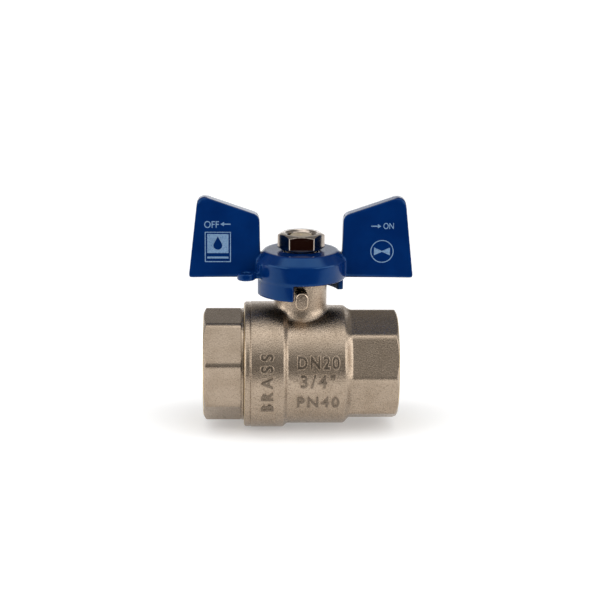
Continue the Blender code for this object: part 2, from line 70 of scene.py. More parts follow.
GAP = 0.3 * MM                  # between pieces that touch on the real valve
LEDGE = 0.15 * MM               # keeps joined faces off one plane
CHAMFER_SOFT = 0.10 * MM        # on the edges of a turned chamfer

# Distances between the rows of points along each thread
PIPE_ROW = 0.18 * MM
NOSE_ROW = 0.15 * MM
NUT_ROW = 0.13 * MM
FINE_ROW = 0.12 * MM

# Pipe ends
OCTAGON_HALF = 15.3 * MM
OCTAGON_ROUND = 2.4 * MM        # on the octagon's corners
CONNECTOR_ROUND = 2.6 * MM
CONNECTOR_TWIST = math.radians(-14.5)
END_CHAMFER = 1.6 * MM
END_CHAMFER_DROP = 0.9 * MM
PIPE_CREST = 12.06 * MM
PIPE_THREAD_DEPTH = 1.16 * MM
PIPE_PITCH = 1.814 * MM
THREAD_RUNOUT = (0.2 * MM, 1.6 * MM)
SOCKET_DEPTH = 13.2 * MM
SOCKET_MOUTH = 13.5 * MM
PASSAGE_R = 9.3 * MM
BARE_RIM = 0.22 * MM            # unplated, round the end faces

# Forged body, along the pipe
RING_R = body_high.y
BARREL_R = 17.3 * MM
RING_ROUND = 0.8 * MM
RING_STEP = (-5.3 * MM, -3.7 * MM)
LINE_X = -14.55 * MM
LINE_DEPTH = 0.13 * MM
LINE_WIDTH = 0.16 * MM
BAND_DROP = 0.10 * MM
SHOULDER = (12.2 * MM, 14.9 * MM)
CHAMBER_R = 14.4 * MM
SEAT_POCKET_R = 13.1 * MM
SEAT_BACK = 12.3 * MM
POCKET_MOUTH = 7.63 * MM
JOINT_THREAD_R = 15.6 * MM
JOINT_FLOOR = -6.8 * MM
JOINT_LEAD = 0.5 * MM

# Connector, from its octagon to its nose
OCTAGON_END = -17.35 * MM
COLLAR_R = 16.35 * MM
COLLAR_GROOVE_R = 15.9 * MM
NOSE_CREST = 15.3 * MM
NOSE_ROOT = 14.55 * MM
NOSE_THREAD_DEPTH = 0.75 * MM
NOSE_PITCH = 1.5 * MM
NOSE_LEAD = 0.6 * MM
NOSE_TIP_R = 14.7 * MM

# Neck
NECK_R = 7.55 * MM
NECK_TOP = body_high.z
NECK_EDGE = 0.4 * MM
FILLET_SIDE = 1.1 * MM
FILLET_FRONT = 2.1 * MM
FILLET_RISE = 1.25              # the fillet is this much higher than wide
PACKING_BOX_R = 6.2 * MM
PACKING_MOUTH_R = 7.0 * MM
STEM_BORE_R = 5.0 * MM
STEM_LAND = (17.8 * MM, 22.6 * MM)
LUG_WIDTH = 3.8 * MM
LUG_LOW = 19.2 * MM
LUG_HIGH = 24.4 * MM
LUG_REACH = 12.2 * MM
LUG_ROUND = 0.5 * MM
LUG_FULLNESS = 0.96             # of a fully round end

# Handle
CAP_R = 13.0 * MM
CAP_WALL = 2.0 * MM
CAP_TOP_R = 10.7 * MM
CAP_TOP = 34.4 * MM
CAP_EDGE = 31.85 * MM
CAP_RIM = 26.4 * MM
PLATE_BOTTOM = 31.8 * MM
PLATE_FILLET = 0.8 * MM
STEM_HOLE = (4.9 * MM, 3.4 * MM)
WING_HALF = 2.3 * MM
WING_EDGE = 0.95 * MM
WING_CORNERS = ((11.6, 26.5), (32.4, 26.5), (29.7, 50.8), (12.0, 44.7))
WING_ROUNDS = (0, 0.8 * MM, 2.2 * MM, 2.4 * MM)
EYELET_TURN = math.radians(203)
EYELET_REACH = 17.2 * MM
EYELET_FOOT = CAP_RIM + 0.7 * MM
EYELET_HEIGHT = 2.0 * MM
EYELET_R = 2.6 * MM
EYELET_HOLE_R = 1.25 * MM
EYELET_ROOT = 11.5 * MM
EYELET_PAD = (13.6 * MM, 3.0 * MM, 4.2 * MM)    # reach, width and height
EYELET_ARM = (15.75 * MM, 2.2 * MM, 1.9 * MM)

# Nuts
M8_PITCH = 1.25 * MM
NUT_FLATS = 12 * MM
NUT_BORE = 4.05 * MM
NUT_CHAMFER = 0.62 * MM
NUT_THREAD_DEPTH = 0.3 * MM
GLAND_FLATS = 13 * MM
GLAND_BORE = 4.9 * MM
GLAND_CHAMFER = 0.4 * MM
GLAND_SHOULDER = 28.3 * MM      # where its hexagon starts
GLAND_THREAD_ROOT = 5.45 * MM
GLAND_TUBE = (4.95 * MM, 5.3 * MM)

# Stem, upwards
TONGUE_HALF = (2 * MM, 4 * MM)  # along the pipe and across it
TONGUE_CHAMFER_TOP = 11.3 * MM
STEM_COLLAR = (14.4 * MM, 16.2 * MM)
STEM_COLLAR_R = 5.9 * MM
STEM_R = 4.6 * MM
GROOVES = (18.6 * MM, 20.6 * MM)
GROOVE_WIDTH = 1.6 * MM
GROOVE_R = 3.4 * MM
FLATS_BOTTOM = 31.5 * MM
FLATS_TOP = 34.0 * MM
FLATS_HALF = 3.1 * MM
STUD_ROOT = 3.45 * MM
FINE_THREAD_DEPTH = 0.42 * MM   # on the stud and the gland nut

# Ball
BALL_R = 14 * MM
BALL_BORE = 9 * MM
BALL_LAP = 0.25 * MM
SLOT_HALF = 2.3 * MM
SLOT_FLOOR = 10.6 * MM

# Marks
CAPITALS = 0.70                 # height of a capital, as a share of the font's size
MARK_ROOT = 0.4 * MM            # depth of raised letters inside the metal
INK_THICK = 0.03 * MM
INK_ROOM = 0.005 * MM
LEFT_X = -23.95 * MM
RIGHT_X = 23.25 * MM
SIGN_Z = 34.4 * MM


# ---------------------------------------------------------------- shader expressions

class Value:
    """A number that varies over a surface. Arithmetic on it adds Math nodes."""

    def __init__(self, finish, socket):
        self.finish = finish
        self.socket = socket

    def math(self, operation, *terms):
        made = self.finish.node("ShaderNodeMath", {"operation": operation}, dict(enumerate(terms)))
        return Value(self.finish, made.outputs[0])

    def __add__(self, other):
        return self.math("ADD", self, other)

    def __sub__(self, other):
        return self.math("SUBTRACT", self, other)

    def __rsub__(self, other):
        return self.math("SUBTRACT", other, self)

    def __mul__(self, other):
        return self.math("MULTIPLY", self, other)

    def __pow__(self, other):
        return self.math("POWER", self, other)

    __radd__ = __add__
    __rmul__ = __mul__

    def step(self, low, high):
        """Runs smoothly from 0 to 1 as the value goes from low to high."""
        made = self.finish.node("ShaderNodeMapRange", {"interpolation_type": "SMOOTHSTEP"},
                                {"Value": self, "From Min": low, "From Max": high})
        return Value(self.finish, made.outputs["Result"])


class Finish:
    """A node tree with short ways to add nodes, for a material or for the world."""

    def __init__(self, owner):
        owner.use_nodes = True
        self.owner = owner
        self.tree = owner.node_tree
        self.tree.nodes.clear()

    def node(self, kind, settings=None, sockets=None):
        """A node of this kind. Its settings come first, then values or links for its sockets."""
        made = self.tree.nodes.new(kind)
        for key, value in (settings or {}).items():
            setattr(made, key, value)
        for key, value in (sockets or {}).items():
            if isinstance(value, Value):
                value = value.socket
            if isinstance(value, bpy.types.NodeSocket):
                self.tree.links.new(value, made.inputs[key])
            else:
                made.inputs[key].default_value = value
        return made

    def where(self):
        """Where a point of the piece is, in metres."""
        return self.node("ShaderNodeTexCoord").outputs["Object"]

    def parts(self, vector):
        """The three numbers of a vector."""
        made = self.node("ShaderNodeSeparateXYZ", None, {0: vector})
        return [Value(self, made.outputs[n]) for n in range(3)]

    def noise(self, size, detail=3.0, roughness=0.55, stretch=(1, 1, 1)):
        """Noise from about 0 to 1, whose lumps are about this many metres across."""
        scaled = self.node("ShaderNodeMapping", None, {"Vector": self.where(), "Scale": stretch})
        made = self.node("ShaderNodeTexNoise", None, {
            "Vector": scaled.outputs[0], "Scale": 1 / size, "Detail": detail, "Roughness": roughness})
        return Value(self, made.outputs["Fac"])

    def mix(self, first, second, factor):
        """A colour between two colours."""
        sides = {}
        for slot, colour in ((6, first), (7, second)):
            sides[slot] = (*colour, 1.0) if isinstance(colour, tuple) else colour
        made = self.node("ShaderNodeMix", {"data_type": "RGBA"}, {0: factor, **sides})
        return made.outputs[2]

    def bump(self, height, strength, distance):
        """A normal that follows fine relief."""
        sockets = {"Height": height, "Strength": strength, "Distance": distance}
        return self.node("ShaderNodeBump", None, sockets).outputs[0]

    def surface(self, **sockets):
        """The Principled shader, with its sockets named by underscored words."""
        named = {key.replace("_", " "): value for key, value in sockets.items()}
        shader = self.node("ShaderNodeBsdfPrincipled", None, named)
        self.node("ShaderNodeOutputMaterial", None, {"Surface": shader.outputs[0]})
        return self.owner


def finish(name):
    return Finish(bpy.data.materials.new(name))


# ---------------------------------------------------------------- materials

def nickel_plate(name, grain=1.0, shade=1.0):
    """Warm nickel over a sandblasted surface, duller where the grain is deep."""
    f = finish(name)
    sand = f.noise(0.38 * MM, 2.0, 0.65)
    fine = f.noise(0.18 * MM, 2.0, 0.6)
    cloud = f.noise(6 * MM, 3.0)
    pits = sand.step(0.52, 0.36)
    light, dark, pit = [tuple(part * shade for part in colour) for colour in (
        (0.392, 0.312, 0.238), (0.345, 0.271, 0.202), (0.18, 0.138, 0.098))]
    plate = f.mix(light, dark, cloud.step(0.35, 0.7))
    return f.surface(
        Base_Color=f.mix(plate, pit, pits * 0.5 * grain),
        Metallic=1.0,
        Roughness=cloud * 0.10 + pits * 0.10 + 0.20,
        Normal=f.bump(sand * 0.7 + fine * 0.3, 1.0, 0.098 * MM * grain))


def bare_brass(name):
    """Turned brass with fine tool marks round the pipe axis."""
    f = finish(name)
    marks = f.noise(0.12 * MM, 2.0, 0.5, stretch=(1.0, 0.12, 0.12))
    stain = f.noise(3 * MM, 3.0)
    return f.surface(
        Base_Color=f.mix((0.62, 0.47, 0.25), (0.46, 0.33, 0.16), stain.step(0.4, 0.7)),
        Metallic=1.0,
        Roughness=stain * 0.2 + 0.18,
        Normal=f.bump(marks, 0.25, 0.02 * MM))


def turned_brass(name):
    """Brass turned about the stem axis, a little tarnished."""
    f = finish(name)
    marks = f.noise(0.12 * MM, 2.0, 0.5, stretch=(0.12, 0.12, 1.0))
    stain = f.noise(2.5 * MM, 3.0)
    return f.surface(
        Base_Color=f.mix((0.58, 0.47, 0.32), (0.42, 0.33, 0.21), stain.step(0.4, 0.75)),
        Metallic=1.0,
        Roughness=stain * 0.25 + 0.3,
        Normal=f.bump(marks, 0.3, 0.02 * MM))


def bright_plate(name):
    """Bright nickel plate on a pressed steel nut, with faint drawing lines."""
    f = finish(name)
    lines = f.noise(0.10 * MM, 2.0, 0.6, stretch=(1.0, 1.0, 0.15))
    cloud = f.noise(2 * MM, 3.0)
    return f.surface(
        Base_Color=f.mix((0.42, 0.36, 0.31), (0.34, 0.29, 0.245), cloud.step(0.35, 0.7)),
        Metallic=1.0,
        Roughness=cloud * 0.06 + 0.06,
        Normal=f.bump(lines, 0.10, 0.02 * MM))


def blue_enamel(name):
    """Glossy enamel over die-cast aluminium, with a slight orange peel and dust marks. Under the cap
    its colour is darker, a painted shade, and it is rougher."""
    f = finish(name)
    peel = f.noise(0.9 * MM, 1.5, 0.5)
    cloud = f.noise(9 * MM, 3.0)
    dust = f.noise(0.5 * MM, 3.0, 0.7).step(0.70, 0.78)
    enamel = f.mix((0.0002, 0.0128, 0.080), (0.0003, 0.0174, 0.100), cloud.step(0.3, 0.7))
    x, y, z = f.parts(f.where())
    beyond_wall = ((x ** 2 + y ** 2) ** 0.5).step(11.3 * MM, 11.8 * MM)
    above_plate = z.step(32.0 * MM, 32.6 * MM)
    under_cap_shade = (1 - beyond_wall) * (1 - above_plate)
    dusty = f.mix(enamel, (0.006, 0.040, 0.160), dust * 0.3)
    return f.surface(
        # Under the cap the colour is darkened: painted shade in the hollow.
        Base_Color=f.mix(dusty, (0.0002, 0.004, 0.030), under_cap_shade),
        Roughness=cloud * 0.06 + dust * 0.10 + under_cap_shade * 0.5 + 0.10,
        Specular_IOR_Level=0.47,
        Specular_Tint=(0.24, 0.60, 1.0, 1.0),
        Normal=f.bump(peel, 0.10, 0.05 * MM))


def printed_ink(name):
    """Thin pad-printed ink, worn where it is thinnest."""
    f = finish(name)
    worn = f.noise(0.35 * MM, 3.0, 0.7)
    return f.surface(
        Base_Color=f.mix((0.13, 0.23, 0.37), (0.05, 0.12, 0.25), worn.step(0.45, 0.70)),
        Roughness=worn * 0.2 + 0.45,
        Normal=f.bump(worn, 0.15, 0.01 * MM))


def white_ptfe(name):
    """Turned PTFE, waxy and slightly uneven."""
    f = finish(name)
    cloud = f.noise(1.5 * MM, 3.0)
    marks = f.noise(0.15 * MM, 2.0)
    return f.surface(
        Base_Color=f.mix((0.84, 0.83, 0.79), (0.76, 0.75, 0.70), cloud.step(0.4, 0.7)),
        Roughness=cloud * 0.15 + 0.38,
        Normal=f.bump(marks, 0.15, 0.02 * MM))


def black_nitrile(name):
    """Moulded rubber with a thin film of grease."""
    f = finish(name)
    film = f.noise(0.8 * MM, 3.0)
    return f.surface(
        Base_Color=f.mix((0.012, 0.012, 0.012), (0.030, 0.029, 0.027), film.step(0.4, 0.7)),
        Roughness=film * 0.3 + 0.35,
        Normal=f.bump(film, 0.1, 0.02 * MM))


def polished_chrome(name):
    """Hard chrome on the ball, with hairlines from lapping."""
    f = finish(name)
    hair = f.noise(0.2 * MM, 3.0, 0.7, stretch=(1.0, 0.1, 0.1))
    return f.surface(
        Base_Color=f.mix((0.80, 0.80, 0.81), (0.70, 0.70, 0.72), hair.step(0.4, 0.7)),
        Metallic=1.0,
        Roughness=hair * 0.08 + 0.05,
        Normal=f.bump(hair, 0.05, 0.01 * MM))


NICKEL = nickel_plate("nickel_plate")
CONNECTOR_NICKEL = nickel_plate("connector_nickel", 0.6, 0.92)
# A darker copy of the plate for the raised letters' tops: painted shade for the dark reflection they catch.
SHADED_MARK_NICKEL = nickel_plate("painted_shade_mark_nickel", 1.0, 0.48)
# Lighter and less grainy: a painted highlight for the rims of the stop lugs.
HIGHLIGHT_EDGE_NICKEL = nickel_plate("painted_highlight_edge_nickel", 0.5, 1.45)
BRASS_THREAD = bare_brass("bare_brass")
TURNED_BRASS = turned_brass("turned_brass")
BRIGHT = bright_plate("bright_plate")
ENAMEL = blue_enamel("blue_enamel")
INK = printed_ink("printed_ink")
PTFE = white_ptfe("white_ptfe")
NITRILE = black_nitrile("black_nitrile")
CHROME = polished_chrome("polished_chrome")


# ---------------------------------------------------------------- shapes

def smooth_max(one, two, soft):
    return 0.5 * (one + two + np.sqrt((one - two) ** 2 + soft ** 2))


def smooth_min(one, two, soft):
    return 0.5 * (one + two - np.sqrt((one - two) ** 2 + soft ** 2))


def ease(value, low, high):
    """Runs smoothly from 0 to 1 as the value goes from low to high."""
    t = np.clip((value - low) / (high - low), 0, 1)
    return t * t * (3 - 2 * t)


def angles(turns):
    return np.arange(turns) * 2 * math.pi / turns


def place(name, bm, look, sharp=35):
    """A new object from a bmesh, smooth apart from its sharp edges."""
    bmesh.ops.recalc_face_normals(bm, faces=bm.faces)
    mesh = bpy.data.meshes.new(name)
    bm.to_mesh(mesh)
    bm.free()
    made = bpy.data.objects.new(name, mesh)
    bpy.context.scene.collection.objects.link(made)
    if look is not None:
        mesh.materials.append(look)
    mesh.shade_smooth()
    mesh.set_sharp_from_angle(angle=math.radians(sharp))
    return made


def skin(name, rows, look=None, loop=False, sharp=35):
    """A surface through rows of points, each row closed round. loop joins the last row to the
    first, and otherwise both ends are filled."""
    count, turns = len(rows), len(rows[0])
    bm = bmesh.new()
    verts = [bm.verts.new(point) for row in rows for point in row]
    for r in range(count if loop else count - 1):
        low, high = r * turns, (r + 1) % count * turns
        for n in range(turns):
            m = (n + 1) % turns
            bm.faces.new((verts[low + n], verts[low + m], verts[high + m], verts[high + n]))
    if not loop:
        bm.faces.new(verts[:turns])
        bm.faces.new(verts[-turns:])
    return place(name, bm, look, sharp)


def ring_row(along, radius, turns, axis):
    """One row of a turned shape. radius is a number or one value for each turn."""
    turn = angles(turns)
    u = np.broadcast_to(radius, turns) * np.cos(turn)
    v = np.broadcast_to(radius, turns) * np.sin(turn)
    w = np.broadcast_to(along, turns)
    return np.stack((w, u, v) if axis == "X" else (u, v, w), 1)


def turned(name, profile, look=None, axis="Z", turns=96, loop=False, sharp=35):
    """A turned piece from (along, radius) pairs."""
    rows = [ring_row(along, radius, turns, axis) for along, radius in profile]
    return skin(name, rows, look, loop, sharp)


def slab(name, outline, low, high, look=None, along="Y", rounding=0.0, steps=3):
    """An outline of (u, v) points pushed from low to high, with its two rims rounded."""
    def point(u, v, w):
        return (u, w, v) if along == "Y" else (u, v, w)

    bm = bmesh.new()
    near = [bm.verts.new(point(u, v, low)) for u, v in outline]
    far = [bm.verts.new(point(u, v, high)) for u, v in outline]
    rims = [bm.faces.new(near), bm.faces.new(far)]
    for n in range(len(outline)):
        m = (n + 1) % len(outline)
        bm.faces.new((near[n], near[m], far[m], far[n]))
    if rounding:
        edges = [edge for face in rims for edge in face.edges]
        bmesh.ops.bevel(bm, geom=edges, offset=rounding, segments=steps, profile=0.5, affect="EDGES")
    return place(name, bm, look)


def rounded(corners, radii, steps=8):
    """An outline whose corners are arcs of the given radii."""
    outline = []
    for n, radius in enumerate(radii):
        here = Vector(corners[n])
        back = (Vector(corners[n - 1]) - here).normalized()
        ahead = (Vector(corners[(n + 1) % len(corners)]) - here).normalized()
        if not radius:
            outline.append(tuple(here))
            continue
        half = back.angle(ahead) / 2
        middle = here + (back + ahead).normalized() * radius / math.sin(half)
        first = (here + back * radius / math.tan(half) - middle).normalized()
        last = (here + ahead * radius / math.tan(half) - middle).normalized()
        outline += [tuple(middle + radius * first.slerp(last, k / steps)) for k in range(steps + 1)]
    return outline


def from_mm(outline):
    return [(u * MM, v * MM) for u, v in outline]


def box_outline(half_u, half_v):
    return [(-half_u, -half_v), (half_u, -half_v), (half_u, half_v), (-half_u, half_v)]


def circle(radius, count=64):
    return [(radius * math.cos(a), radius * math.sin(a)) for a in angles(count)]


def settle(made):
    """Replaces the piece's mesh by what its modifiers make of it."""
    bpy.context.view_layer.update()
    graph = bpy.context.evaluated_depsgraph_get()
    mesh = bpy.data.meshes.new_from_object(made.evaluated_get(graph))
    made.modifiers.clear()
    made.data = mesh


def combine(made, operation, *others):
    """Joins the others to the piece, or cuts them from it, and removes them."""
    for other in others:
        step = made.modifiers.new(operation, "BOOLEAN")
        step.operation = operation
        step.solver = "MANIFOLD"
        step.object = other
    looks = list(made.data.materials)
    settle(made)
    made.data.materials.clear()
    for look in looks:
        made.data.materials.append(look)
    for other in others:
        bpy.data.objects.remove(other)


def polygon_radius(turn, sides, half_flats, first_corner, corner_round=0.0):
    """Distance from the middle to a regular polygon's side, for each direction, with its corners
    as arcs of the given radius."""
    half_sector = math.pi / sides
    off = (turn - first_corner) % (2 * half_sector) - half_sector
    flat = half_flats / np.cos(off)
    from_corner = half_sector - abs(off)
    arc_middle = (half_flats - corner_round) / math.cos(half_sector)
    arc = arc_middle * np.cos(from_corner) + np.sqrt(
        np.maximum(corner_round ** 2 - (arc_middle * np.sin(from_corner)) ** 2, 0))
    on_arc = np.tan(abs(off)) > (half_flats - corner_round) * math.tan(half_sector) / half_flats
    return np.where(on_arc, arc, flat)


def helix(along, turn, pitch):
    """How high a right-hand thread stands at this place, for each direction, from 0 to 1."""
    return 0.5 - 0.5 * np.cos(2 * math.pi * along / pitch - turn)


def coarse_thread(x, turn, low_r, depth, pitch, stop):
    """A thread's radius along the pipe, with flat crests and roots, running out near stop."""
    ridge = np.clip(helix(x, turn, pitch) * 1.25 - 0.12, 0, 1)
    return low_r + depth * ridge * ease(abs(x - stop), *THREAD_RUNOUT)


def spread(*stretches):
    """Places along a piece: (from, to, count) for each stretch, without doubles."""
    return np.concatenate([np.linspace(low, high, count, endpoint=False) for low, high, count in stretches])


# ---------------------------------------------------------------- body and connector

def body_radius(x):
    """Radius of the ring and the barrel along the pipe."""
    radius = RING_R + (BARREL_R - RING_R) * ease(x, *RING_STEP)
    into = np.clip((body_low.x + RING_ROUND - x) / RING_ROUND, 0, 1)
    radius -= RING_ROUND * (1 - np.sqrt(1 - into ** 2))
    radius -= BAND_DROP * (1 - ease(x, LINE_X, LINE_X + LINE_WIDTH))
    return radius - LINE_DEPTH * np.exp(-((x - LINE_X) / LINE_WIDTH) ** 2)


def end_cone(into):
    """Radius of the turned chamfer, this far in from the end face."""
    corner = OCTAGON_HALF / math.cos(math.pi / 8)
    return corner - END_CHAMFER + into * END_CHAMFER / END_CHAMFER_DROP


def socket_rows(side, turns):
    """The threaded socket as a cutter's rows, from outside the mouth to its floor."""
    turn = angles(turns)
    end = side * body_high.x
    floor = side * (body_high.x - SOCKET_DEPTH)
    rows = [ring_row(end + side * MM, SOCKET_MOUTH + MM, turns, "X")]
    for into in np.arange(0, SOCKET_DEPTH, PIPE_ROW):
        x = end - side * into
        ridges = coarse_thread(x, turn, PIPE_CREST, PIPE_THREAD_DEPTH, PIPE_PITCH, floor)
        rows.append(ring_row(x, smooth_max(ridges, SOCKET_MOUTH - into, 0.05 * MM), turns, "X"))
    rows.append(ring_row(floor, PIPE_CREST, turns, "X"))
    rows.append(ring_row(floor, PASSAGE_R, turns, "X"))
    return rows


def valve_body():
    """The forged body: ring, barrel, octagon, neck and stop lugs, hollowed out for the rest."""
    turns = 320
    left, right = body_low.x, body_high.x
    octagon = polygon_radius(angles(turns), 8, OCTAGON_HALF, 0.0, OCTAGON_ROUND)
    line_left, line_right = LINE_X - 3 * LINE_WIDTH, LINE_X + 3 * LINE_WIDTH
    chamfer_left = right - 2 * END_CHAMFER_DROP
    places = spread(
        (left, left + RING_ROUND, 8), (left + RING_ROUND, line_left, 2), (line_left, line_right, 14),
        (line_right, RING_STEP[0], 10), (*RING_STEP, 14), (RING_STEP[1], SHOULDER[0], 16),
        (*SHOULDER, 26), (SHOULDER[1], chamfer_left, 16), (chamfer_left, right, 16))
    rows = []
    for x in [*places, right]:
        fallen = ease(x, *SHOULDER)
        radius = body_radius(x) * (1 - fallen) + octagon * fallen
        radius = smooth_min(radius, end_cone(right - x), CHAMFER_SOFT)
        rows.append(ring_row(x, radius, turns, "X"))
    made = skin("valve_body", rows, NICKEL)
    combine(made, "UNION", neck(), lugs())
    inside = socket_rows(1, turns)
    for x, radius in (
            (SEAT_BACK, PASSAGE_R), (SEAT_BACK, SEAT_POCKET_R), (POCKET_MOUTH, SEAT_POCKET_R),
            (POCKET_MOUTH, CHAMBER_R), (JOINT_FLOOR, CHAMBER_R), (JOINT_FLOOR, JOINT_THREAD_R),
            (left + JOINT_LEAD, JOINT_THREAD_R), (left - JOINT_LEAD, JOINT_THREAD_R + 2 * JOINT_LEAD)):
        inside.append(ring_row(x, radius, turns, "X"))
    combine(made, "DIFFERENCE", skin("waterway", inside), stem_bore())
    brass_inside(made, left, right)
    lug_rim_highlight(made)
    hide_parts("body")
    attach(made, "valve_body")


def stem_bore():
    """What is cut out of the neck: room for the stem's collar, its bearing and the packing box."""
    low, high = STEM_LAND
    in_chamber = 5 * MM
    return turned("stem_bore", [
        (in_chamber, PACKING_BOX_R), (low, PACKING_BOX_R), (low, STEM_BORE_R), (high, STEM_BORE_R),
        (high, PACKING_BOX_R), (NECK_TOP - NECK_EDGE, PACKING_BOX_R), (NECK_TOP + MM, PACKING_MOUTH_R)])


def lugs():
    """The two stop lugs, as one long rounded peg through the neck."""
    rows = []
    for side in (-1, 1):
        for a in np.linspace(0, math.pi / 2, 7)[::-side]:
            inset, back = LUG_ROUND * (1 - math.sin(a)), LUG_ROUND * (1 - math.cos(a))
            half, low, high = LUG_WIDTH / 2 - inset, LUG_LOW + inset, LUG_HIGH - inset
            corners = [(-half, low), (half, low), (half, high), (-half, high)]
            y = side * (LUG_REACH - back)
            rows.append([(u, y, v) for u, v in rounded(corners, [half * LUG_FULLNESS] * 4)])
    return skin("lugs", rows)


def neck():
    """The neck, flowing into the ring and the barrel in a fillet."""
    turns = 192
    turn = angles(turns)
    width = FILLET_SIDE + (FILLET_FRONT - FILLET_SIDE) * np.abs(np.sin(turn))

    def surface(radius):
        return np.sqrt(body_radius(radius * np.cos(turn)) ** 2 - (radius * np.sin(turn)) ** 2)

    def row(radius, height):
        return np.stack((radius * np.cos(turn), radius * np.sin(turn), np.broadcast_to(height, turns)), 1)

    sunk = 0.06 * MM
    foot_r, foot_z = NECK_R + width, surface(NECK_R + width) - sunk
    corner_z = surface(np.full(turns, NECK_R)) - sunk / 2
    top_z = corner_z + width * FILLET_RISE
    inside_body = 10 * MM
    rows = [row(np.full(turns, NECK_R - MM), inside_body), row(foot_r - MM, foot_z - 2 * MM),
            row(foot_r + 0.1 * MM, foot_z - 0.3 * MM)]
    for t in np.linspace(0, 1, 12):
        radius = (1 - t) ** 2 * foot_r + 2 * t * (1 - t) * NECK_R + t * t * NECK_R
        height = (1 - t) ** 2 * foot_z + 2 * t * (1 - t) * corner_z + t * t * top_z
        rows.append(row(radius, height))
    for t in np.linspace(0.1, 1, 8):
        rows.append(row(np.full(turns, NECK_R), top_z + (NECK_TOP - NECK_EDGE - top_z) * t))
    rows.append(row(np.full(turns, NECK_R - NECK_EDGE), NECK_TOP))
    return skin("neck", rows)


def brass_inside(made, left, right):
    """Gives the end faces, and the threads and bores inside the plated skin, their bare brass."""
    made.data.materials.append(BRASS_THREAD)
    limit = PIPE_CREST + PIPE_THREAD_DEPTH + 0.15 * MM
    below_neck = 12 * MM
    for face in made.data.polygons:
        x, y, z = face.center
        in_bore = math.hypot(y, z) < limit and z < below_neck
        if in_bore or min(abs(x - left), abs(x - right)) < BARE_RIM:
            face.material_index = 1


def lug_rim_highlight(made):
    """Lighter, less grainy plate round the rims of the stop lugs: a painted highlight on their rounded edges.
    """
    made.data.materials.append(HIGHLIGHT_EDGE_NICKEL)
    for face in made.data.polygons:
        from_end = LUG_REACH - abs(face.center.y)
        if 0.03 * MM < from_end < LUG_ROUND and face.center.z > LUG_LOW - MM:
            face.material_index = 2


def end_connector():
    """The screwed-in end: octagon, relief, plain collar, and the threaded nose inside the ring."""
    turns = 320
    turn = angles(turns)
    left, right, nose = connector_low.x, body_low.x, connector_high.x
    octagon = polygon_radius(turn, 8, OCTAGON_HALF, CONNECTOR_TWIST, CONNECTOR_ROUND)
    chamfer_right, edge_left = left + 2 * END_CHAMFER_DROP, OCTAGON_END - 0.6 * MM
    places = spread((left, chamfer_right, 16), (chamfer_right, edge_left, 16), (edge_left, OCTAGON_END, 8))
    rows = []
    for x in [*places, OCTAGON_END]:
        radius = smooth_min(octagon, end_cone(x - left), CHAMFER_SOFT)
        radius = smooth_min(radius, COLLAR_R + (OCTAGON_END - x) * 0.8, 0.08 * MM)
        rows.append(ring_row(x, radius, turns, "X"))
    collar_end = right - 0.05 * MM
    for x, radius in (
            (OCTAGON_END + 0.1 * MM, COLLAR_GROOVE_R), (OCTAGON_END + 0.2 * MM, COLLAR_R),
            (right - 0.15 * MM, COLLAR_R), (collar_end, COLLAR_R - 0.1 * MM), (collar_end, NOSE_CREST)):
        rows.append(ring_row(x, radius, turns, "X"))
    for x in np.arange(right + 0.2 * MM, nose - NOSE_LEAD - 0.3 * MM, NOSE_ROW):
        ridges = coarse_thread(x, turn, NOSE_ROOT, NOSE_THREAD_DEPTH, NOSE_PITCH, right)
        rows.append(ring_row(x, ridges, turns, "X"))
    rows.append(ring_row(nose - NOSE_LEAD, NOSE_CREST, turns, "X"))
    rows.append(ring_row(nose, NOSE_TIP_R, turns, "X"))
    made = skin("end_connector", rows, CONNECTOR_NICKEL)
    inside = socket_rows(-1, turns)
    for x, radius in ((-SEAT_BACK, PASSAGE_R), (-SEAT_BACK, SEAT_POCKET_R), (nose + MM, SEAT_POCKET_R)):
        inside.append(ring_row(x, radius, turns, "X"))
    combine(made, "DIFFERENCE", skin("inlet_waterway", inside))
    brass_inside(made, left, left)
    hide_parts("end_connector")
    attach(made, "valve_body")


# ---------------------------------------------------------------- handle

def arc_block(name, start, stop, low, high):
    """A block between two radii on either side of the cap's wall, from start to stop in degrees."""
    turn = np.radians(np.linspace(start, stop, 48))
    outer, inner = CAP_R + MM, CAP_R - CAP_WALL - MM
    outline = [(outer * math.cos(a), outer * math.sin(a)) for a in turn]
    outline += [(inner * math.cos(a), inner * math.sin(a)) for a in turn[::-1]]
    return slab(name, outline, low, high, along="Z")


def bar(name, far, width, low, high):
    """An upright block that reaches out from inside the cap's wall, towards the eyelet."""
    out = Vector((math.cos(EYELET_TURN), math.sin(EYELET_TURN)))
    aside = Vector((-out.y, out.x)) * width / 2
    corners = [out * EYELET_ROOT - aside, out * far - aside, out * far + aside, out * EYELET_ROOT + aside]
    return slab(name, [tuple(corner) for corner in corners], low, high, along="Z")


def wing(name, side):
    """One wing, on the left for side -1 and on the right for 1."""
    corners = [(side * u * MM, v * MM) for u, v in WING_CORNERS]
    outline = rounded(corners, WING_ROUNDS, 10)
    return slab(name, outline, -WING_HALF, WING_HALF, rounding=WING_EDGE, steps=4)


def eyelet():
    """The ring for a seal wire on the cap's wall, with its arm and the pad behind it."""
    foot, top = EYELET_FOOT, EYELET_FOOT + EYELET_HEIGHT
    loop = turned("eyelet", [(foot, EYELET_HOLE_R), (foot, EYELET_R), (top, EYELET_R), (top, EYELET_HOLE_R)],
                  turns=64, loop=True)
    x, y = EYELET_REACH * math.cos(EYELET_TURN), EYELET_REACH * math.sin(EYELET_TURN)
    loop.data.transform(Matrix.Translation((x, y, 0)))
    reach, width, height = EYELET_PAD
    pad = bar("eyelet_pad", reach, width, foot + LEDGE, foot + height)
    reach, width, height = EYELET_ARM
    arm = bar("eyelet_arm", reach, width, foot + 0.1 * MM, foot + height)
    return loop, pad, arm


